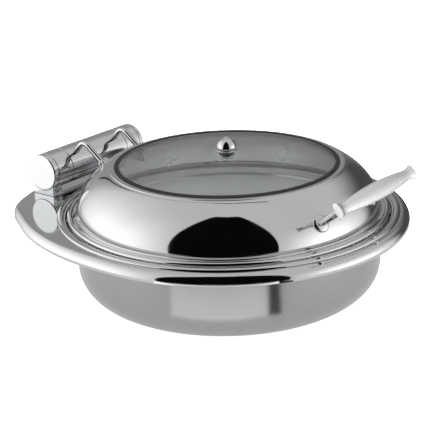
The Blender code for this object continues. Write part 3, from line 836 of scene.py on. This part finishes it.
# foot and apex are (Y, height above the deck)
armSet = {"x": 38, "radius": 3.6, "foot": (173.5, 40.0), "apex": (206.0, 65.5), "bend": 11.0,
          "bendCuts": 14, "footPast": 1.0, "barrelIn": 1.0, "eyeR": 4.6, "eyeHalf": 3.0,
          "eyeEdge": 0.8, "nutR": 3.6, "nutFlat": 4.2, "nutDomeR": 3.4, "nutDomeAt": 4.6,
          "nutTop": 8.0}


def armLine(x):
    foot = Vector(armSet["foot"]) + Vector((0, deckTop))
    apex = Vector(armSet["apex"]) + Vector((0, deckTop))
    axis = Vector((hingeY, hingeZ))
    down = (axis - apex).normalized()
    back = (foot - apex).normalized()
    start, stop = apex + back * armSet["bend"], apex + down * armSet["bend"]
    line = [foot + back * armSet["footPast"], foot]
    for i in range(armSet["bendCuts"] + 1):
        t = i / armSet["bendCuts"]
        line.append(start * (1 - t) ** 2 + apex * (2 * t * (1 - t)) + stop * t * t)
    line.append(axis - down * (hingeR - armSet["barrelIn"]))
    return [(x, p.x, p.y) for p in line]


def makeArms():
    settings = armSet
    footY, footZ = settings["foot"][0], settings["foot"][1] + deckTop
    eyeR, half, edge = settings["eyeR"], settings["eyeHalf"], settings["eyeEdge"]
    nutR, top = settings["nutR"], settings["nutTop"]
    for side, word in ((-1, "left"), (1, "right")):
        x = side * settings["x"]
        rod = bendRod("liftArm_" + word, armLine(x), settings["radius"])
        finishPiece(rod, polishedSteel, "lid", ["hinge_arm_" + word])
        outward = alongX * side
        eye = Vector((x, footY, footZ))
        outline = [(0, -half), (eyeR - edge, -half), (eyeR, edge - half), (eyeR, half - edge),
                   (eyeR - edge, half), (0, half)]
        ring = turnPiece("armEye_" + word, outline, 32, eye, outward)
        finishPiece(ring, polishedSteel, "lid", ())
        outline = [(0, half), (nutR, half), (nutR, settings["nutFlat"])]
        outline += arcLine(0, settings["nutDomeAt"], settings["nutDomeR"], 0, 88, 8)
        nut = turnPiece("armCap_" + word, outline + [(0, top)], 24, eye, outward)
        finishPiece(nut, polishedSteel, "lid", ["arm_nut_" + word])
        makeLug(word, eye, outward)


lugSet = {"inward": 5.6, "half": 2.0, "foot": 26, "front": 9, "behind": 8, "topR": 6.0,
          "edge": 0.5, "boltInward": 7.6,
          "bolt": ((0, 0), (3.2, 0), (3.2, 0.9), (2.7, 1.3), (1.5, 1.3), (1.5, 0.3), (0, 0.3))}


def makeLug(word, eye, outward):
    settings = lugSet
    half = settings["half"]
    low = eye.x - outward.x * settings["inward"] - half
    foot = deckTop + settings["foot"]
    outline = [(eye.y - settings["front"], foot), (eye.y + settings["behind"], foot)]
    outline += arcLine(eye.y, eye.z, settings["topR"], 0, 180, 15)
    lug = drawLine("lidEar_" + word, [(low, y, z) for y, z in outline + outline[:1]])
    closeUp(lug)
    inEdit(lug)
    bpy.ops.mesh.edge_face_add()
    bpy.ops.mesh.extrude_region_move(TRANSFORM_OT_translate={"value": (2 * half * mm, 0, 0)})
    bpy.ops.mesh.select_all(action="SELECT")
    bpy.ops.mesh.normals_make_consistent(inside=False)
    outOfEdit()
    applyModifier(lug, "BEVEL", width=settings["edge"] * mm, segments=3, limit_method="ANGLE",
                  angle_limit=math.radians(50))
    finishPiece(lug, polishedSteel, "lid", ["lid_lug_" + word])
    head = eye - outward * settings["boltInward"]
    bolt = turnPiece("earBolt_" + word, settings["bolt"], 24, head, -outward)
    finishPiece(bolt, turnedSteel, "lid", (), 25)


makeHinge()
makeArms()
print("hinge made")


keptFinishes = {
    "knob_soft_washer": silicone, "knob_nut": polishedSteel, "knob_stud": turnedSteel,
    "hinge_shaft": turnedSteel, "damper_rotor": turnedSteel, "damper_body": nylon,
    "hinge_bush_left": acetal, "hinge_bush_right": acetal, "torsion_spring": springSteel,
    "hinge_backing_plate": turnedSteel,
}
for side in ("left", "right"):
    for end in ("front", "rear"):
        keptFinishes["post_screw_%s_%s" % (side, end)] = turnedSteel
for node, material in keptFinishes.items():
    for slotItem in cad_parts[node].material_slots:
        slotItem.material = material
print("kept parts finished")


viewSet = {"turn": -52.4, "lift": 19.6, "reach": 1596.7, "roll": -1.8, "shiftX": -16.5,
           "shiftY": -9.4, "lens": 106.3, "sensor": 36, "clipStart": 0.05}


# points from the dish towards a side and up; at turn 0 that is straight in front
def aim(turn, lift):
    a, e = math.radians(turn), math.radians(lift)
    return Vector((math.sin(a) * math.cos(e), -math.cos(a) * math.cos(e), math.sin(e)))


def makeCamera():
    settings = viewSet
    back = aim(settings["turn"], settings["lift"])
    a = math.radians(settings["turn"])
    level = Vector((math.cos(a), math.sin(a), 0))
    up = back.cross(level)
    r = math.radians(settings["roll"])
    right = level * math.cos(r) + up * math.sin(r)
    upward = up * math.cos(r) - level * math.sin(r)
    place = right * settings["shiftX"] + upward * settings["shiftY"] + back * settings["reach"]
    place.z += deckTop
    startClean()
    bpy.ops.object.camera_add(location=place * mm)
    camera = bpy.context.object
    camera.rotation_euler = Matrix((right, upward, back)).transposed().to_euler()
    camera.data.lens = settings["lens"]
    camera.data.sensor_width = settings["sensor"]
    camera.data.clip_start = settings["clipStart"]
    bpy.context.scene.camera = camera


# from here on, room sizes are in metres, and turns and lifts in degrees from the camera's side
def showOnlyIn(piece, **rays):
    for ray in ("camera", "glossy", "diffuse", "transmission", "volume_scatter", "shadow"):
        setattr(piece, "visible_" + ray, rays.get(ray, False))


# glows evenly and takes no light
def plainGlow(name, strength):
    material, output = startMaterial(name)[:2]
    light = addNode(material, "ShaderNodeEmission", {"Strength": strength})
    linkSurface(material, output, light, "Emission")
    return material


# bends a flat grid onto a ball round the object; place(u, v) gives its turn and lift
def bendGrid(name, place, radius, cuts=(32, 24)):
    startClean()
    bpy.ops.mesh.primitive_grid_add(x_subdivisions=cuts[0], y_subdivisions=cuts[1], size=2.0,
                                    calc_uvs=True)
    grid = bpy.context.object
    grid.name = grid.data.name = name
    for vert in grid.data.vertices:
        turn, lift = place((vert.co.x + 1) / 2, (vert.co.y + 1) / 2)
        vert.co = aim(viewSet["turn"] + turn, lift) * radius + Vector((0, 0, deckTop * mm))
    return grid


floorSet = {"colour": "#F7F7F7", "glow": 0.88, "radius": 6.0, "below": 0.0005,
            "grainsPerMetre": 900.0, "rough": 0.9, "bump": 0.05, "bumpDepth": 0.1}


# a pale matt board, lit evenly from the studio, with a fine paper grain
def makeFloor():
    settings = floorSet
    startClean()
    bpy.ops.mesh.primitive_circle_add(vertices=96, radius=settings["radius"],
                                      fill_type="NGON", location=(0, 0, -settings["below"]))
    floor = bpy.context.object
    floor.name = "paleFloor"
    material, output, place = startMaterial("paleMattBoard")
    grain = addNode(material, "ShaderNodeTexNoise", {
        "Vector": (place, "Object"), "Scale": settings["grainsPerMetre"], "Detail": 2.0})
    bump = addNode(material, "ShaderNodeBump", {
        "Height": (grain, "Fac"), "Strength": settings["bump"],
        "Distance": settings["bumpDepth"] * mm})
    board = addNode(material, "ShaderNodeBsdfPrincipled", {
        "Base Color": hexToLinear(settings["colour"]), "Roughness": settings["rough"],
        "Normal": (bump, 0), "Emission Color": hexToLinear(settings["colour"]),
        "Emission Strength": settings["glow"]})
    linkSurface(material, output, board)
    floor.data.materials.append(material)
    showOnlyIn(floor, camera=True, diffuse=True, shadow=True, transmission=True)


backdropSet = {"radius": 5.9, "low": -8, "tall": 98, "glow": 1.0}


def makeBackdrop():
    settings = backdropSet
    backdrop = bendGrid("whiteBackdrop",
                        lambda u, v: (360 * u, settings["low"] + settings["tall"] * v),
                        settings["radius"], (64, 16))
    backdrop.data.materials.append(plainGlow("whiteBackdrop", settings["glow"]))
    showOnlyIn(backdrop, camera=True)


lightSet = {"roomGrey": 0.64, "height": 2.4, "size": 2.6, "power": 140}


def makeWorld():
    world = bpy.data.worlds.new("softRoom")
    bpy.context.scene.world = world
    world.use_nodes = True
    glow = world.node_tree.nodes["Background"]
    glow.inputs["Color"].default_value = (1, 1, 1, 1)
    glow.inputs["Strength"].default_value = lightSet["roomGrey"]


# one big soft lamp overhead, which the polished metal doesn't mirror
def makeOverhead():
    settings = lightSet
    startClean()
    bpy.ops.object.light_add(type="AREA", location=(0, 0, settings["height"]))
    overhead = bpy.context.object
    overhead.data.shape = "DISK"
    overhead.data.size = settings["size"]
    overhead.data.energy = settings["power"]
    overhead.visible_glossy = False


clothSet = {"middle": -5, "half": 39, "low": -26, "tall": 104, "square": 10, "round": 1 / 3,
            "radius": 3.2, "glow": 0.003}


# the black cloth in front hangs like a curtain with a round top
def makeBlackCloth():
    settings = clothSet

    def place(u, v):
        across = 2 * u - 1
        arch = max(0.0, 1 - abs(across) ** settings["square"]) ** settings["round"]
        return (settings["middle"] + settings["half"] * across,
                settings["low"] + settings["tall"] * v * arch)
    cloth = bendGrid("blackCloth", place, settings["radius"], (64, 24))
    cloth.data.materials.append(plainGlow("blackCloth", settings["glow"]))
    showOnlyIn(cloth, glossy=True)


# the path is (turn, lift), the far side of the room and its height are in millimetres
seamSet = {"path": ((-152, 12), (-151, 22), (-144, 38), (-143, 48), (-142, 56), (-145, 64),
                    (-156, 71), (-176, 76), (-203, 75), (-226, 70)),
           "reach": 2900, "radius": 40, "glow": 0.02}


# the thin dark seam of the studio's ceiling, up the far left side and over the top
def makeCeilingSeam():
    settings = seamSet
    points = [aim(viewSet["turn"] + turn, lift) * settings["reach"] + Vector((0, 0, deckTop))
              for turn, lift in throughLine(settings["path"], 6)]
    seam = bendRod("ceilingSeam", points, settings["radius"], 2)
    seam.data.materials.append(plainGlow("ceilingSeam", settings["glow"]))
    showOnlyIn(seam, glossy=True)


# soft windows and walls that only the reflections see
cardSet = {
    "leftWindow": {"turn": (-160, -28), "lift": (-78, 74), "soft": (0.85, 1.0), "glow": 1.52},
    "rightWindow": {"turn": (28, 126), "lift": (-60, 40), "soft": (1.0, 1.0), "glow": 1.75},
    "greyWall": {"turn": (110, 174), "lift": (-50, 42), "soft": (0.6, 0.6), "glow": 0.08},
    "backWall": {"turn": (148, 226), "lift": (-35, 50), "soft": (0.4, 0.5), "glow": 0.34},
}
cardPlace = {"nearest": 3.3, "apart": 0.05}


# a glowing card whose edges fade away into the room
def makeCard(name, turn, lift, soft, glow, radius):
    card = bendGrid(name, lambda u, v: (turn[0] + (turn[1] - turn[0]) * u,
                                        lift[0] + (lift[1] - lift[0]) * v), radius)
    material, output, place = startMaterial(name + "Card")
    apart = addNode(material, "ShaderNodeSeparateXYZ", {0: (place, "UV")})
    masks = []
    for axis, fade in zip("XY", soft):
        centre = addNode(material, "ShaderNodeMath", {0: (apart, axis), 1: 0.5},
                         operation="SUBTRACT")
        away = addNode(material, "ShaderNodeMath", {0: (centre, 0)}, operation="ABSOLUTE")
        masks.append(addNode(material, "ShaderNodeMapRange", {
            "Value": (away, 0), "From Min": 0.5, "From Max": 0.5 - fade / 2, "To Min": 0.0,
            "To Max": 1.0}, interpolation_type="SMOOTHSTEP"))
    both = addNode(material, "ShaderNodeMath", {0: (masks[0], 0), 1: (masks[1], 0)},
                   operation="MULTIPLY")
    light = addNode(material, "ShaderNodeEmission", {"Strength": glow})
    clear = addNode(material, "ShaderNodeBsdfTransparent")
    mixed = addNode(material, "ShaderNodeMixShader", {
        0: (both, 0), 1: (clear, 0), 2: (light, 0)})
    linkSurface(material, output, mixed, "Shader")
    card.data.materials.append(material)
    showOnlyIn(card, glossy=True)


# sheets on the table that only the reflections see: (sideways, towards the camera)
sheetSet = {
    "whitePaper": {"near": ((-0.110, 0.215), (0.067, 0.238)),
                   "far": ((-0.283, 0.389), (0.172, 0.440)), "glow": 1.28},
    "paperGap": {"near": ((0.066, 0.238), (0.090, 0.226)),
                 "far": ((0.170, 0.436), (0.214, 0.406)), "glow": 0.02},
}
sheetHeight = 0.002


def between(start, end, part):
    return [(1 - part) * a + part * b for a, b in zip(start, end)]


def makeTableSheet(name, near, far, glow):
    startClean()
    bpy.ops.mesh.primitive_grid_add(x_subdivisions=4, y_subdivisions=4, size=2.0)
    sheet = bpy.context.object
    sheet.name = sheet.data.name = name
    ahead, sideways = aim(viewSet["turn"], 0), aim(viewSet["turn"] + 90, 0)
    for vert in sheet.data.vertices:
        u, v = (vert.co.x + 1) / 2, (vert.co.y + 1) / 2
        spot = between(between(*near, u), between(*far, u), v)
        vert.co = sideways * spot[0] + ahead * spot[1] + Vector((0, 0, sheetHeight))
    sheet.data.materials.append(plainGlow(name, glow))
    showOnlyIn(sheet, glossy=True)


tableSet = {"reach": 0.47, "height": 0.0005, "glow": 0.76}


def makeTableTop():
    settings = tableSet
    startClean()
    bpy.ops.mesh.primitive_circle_add(vertices=96, radius=settings["reach"],
                                      fill_type="NGON", location=(0, 0, settings["height"]))
    table = bpy.context.object
    table.name = table.data.name = "paleTable"
    applyPlace()
    table.data.materials.append(plainGlow("paleTable", settings["glow"]))
    showOnlyIn(table, glossy=True)


makeCamera()
makeFloor()
makeBackdrop()
makeWorld()
makeOverhead()
makeBlackCloth()
makeCeilingSeam()
for number, (name, card) in enumerate(cardSet.items()):
    makeCard(name, radius=cardPlace["nearest"] + cardPlace["apart"] * number, **card)
for name, sheet in sheetSet.items():
    makeTableSheet(name, **sheet)
makeTableTop()
bpy.context.scene.view_settings.view_transform = "Standard"
print("stage made")
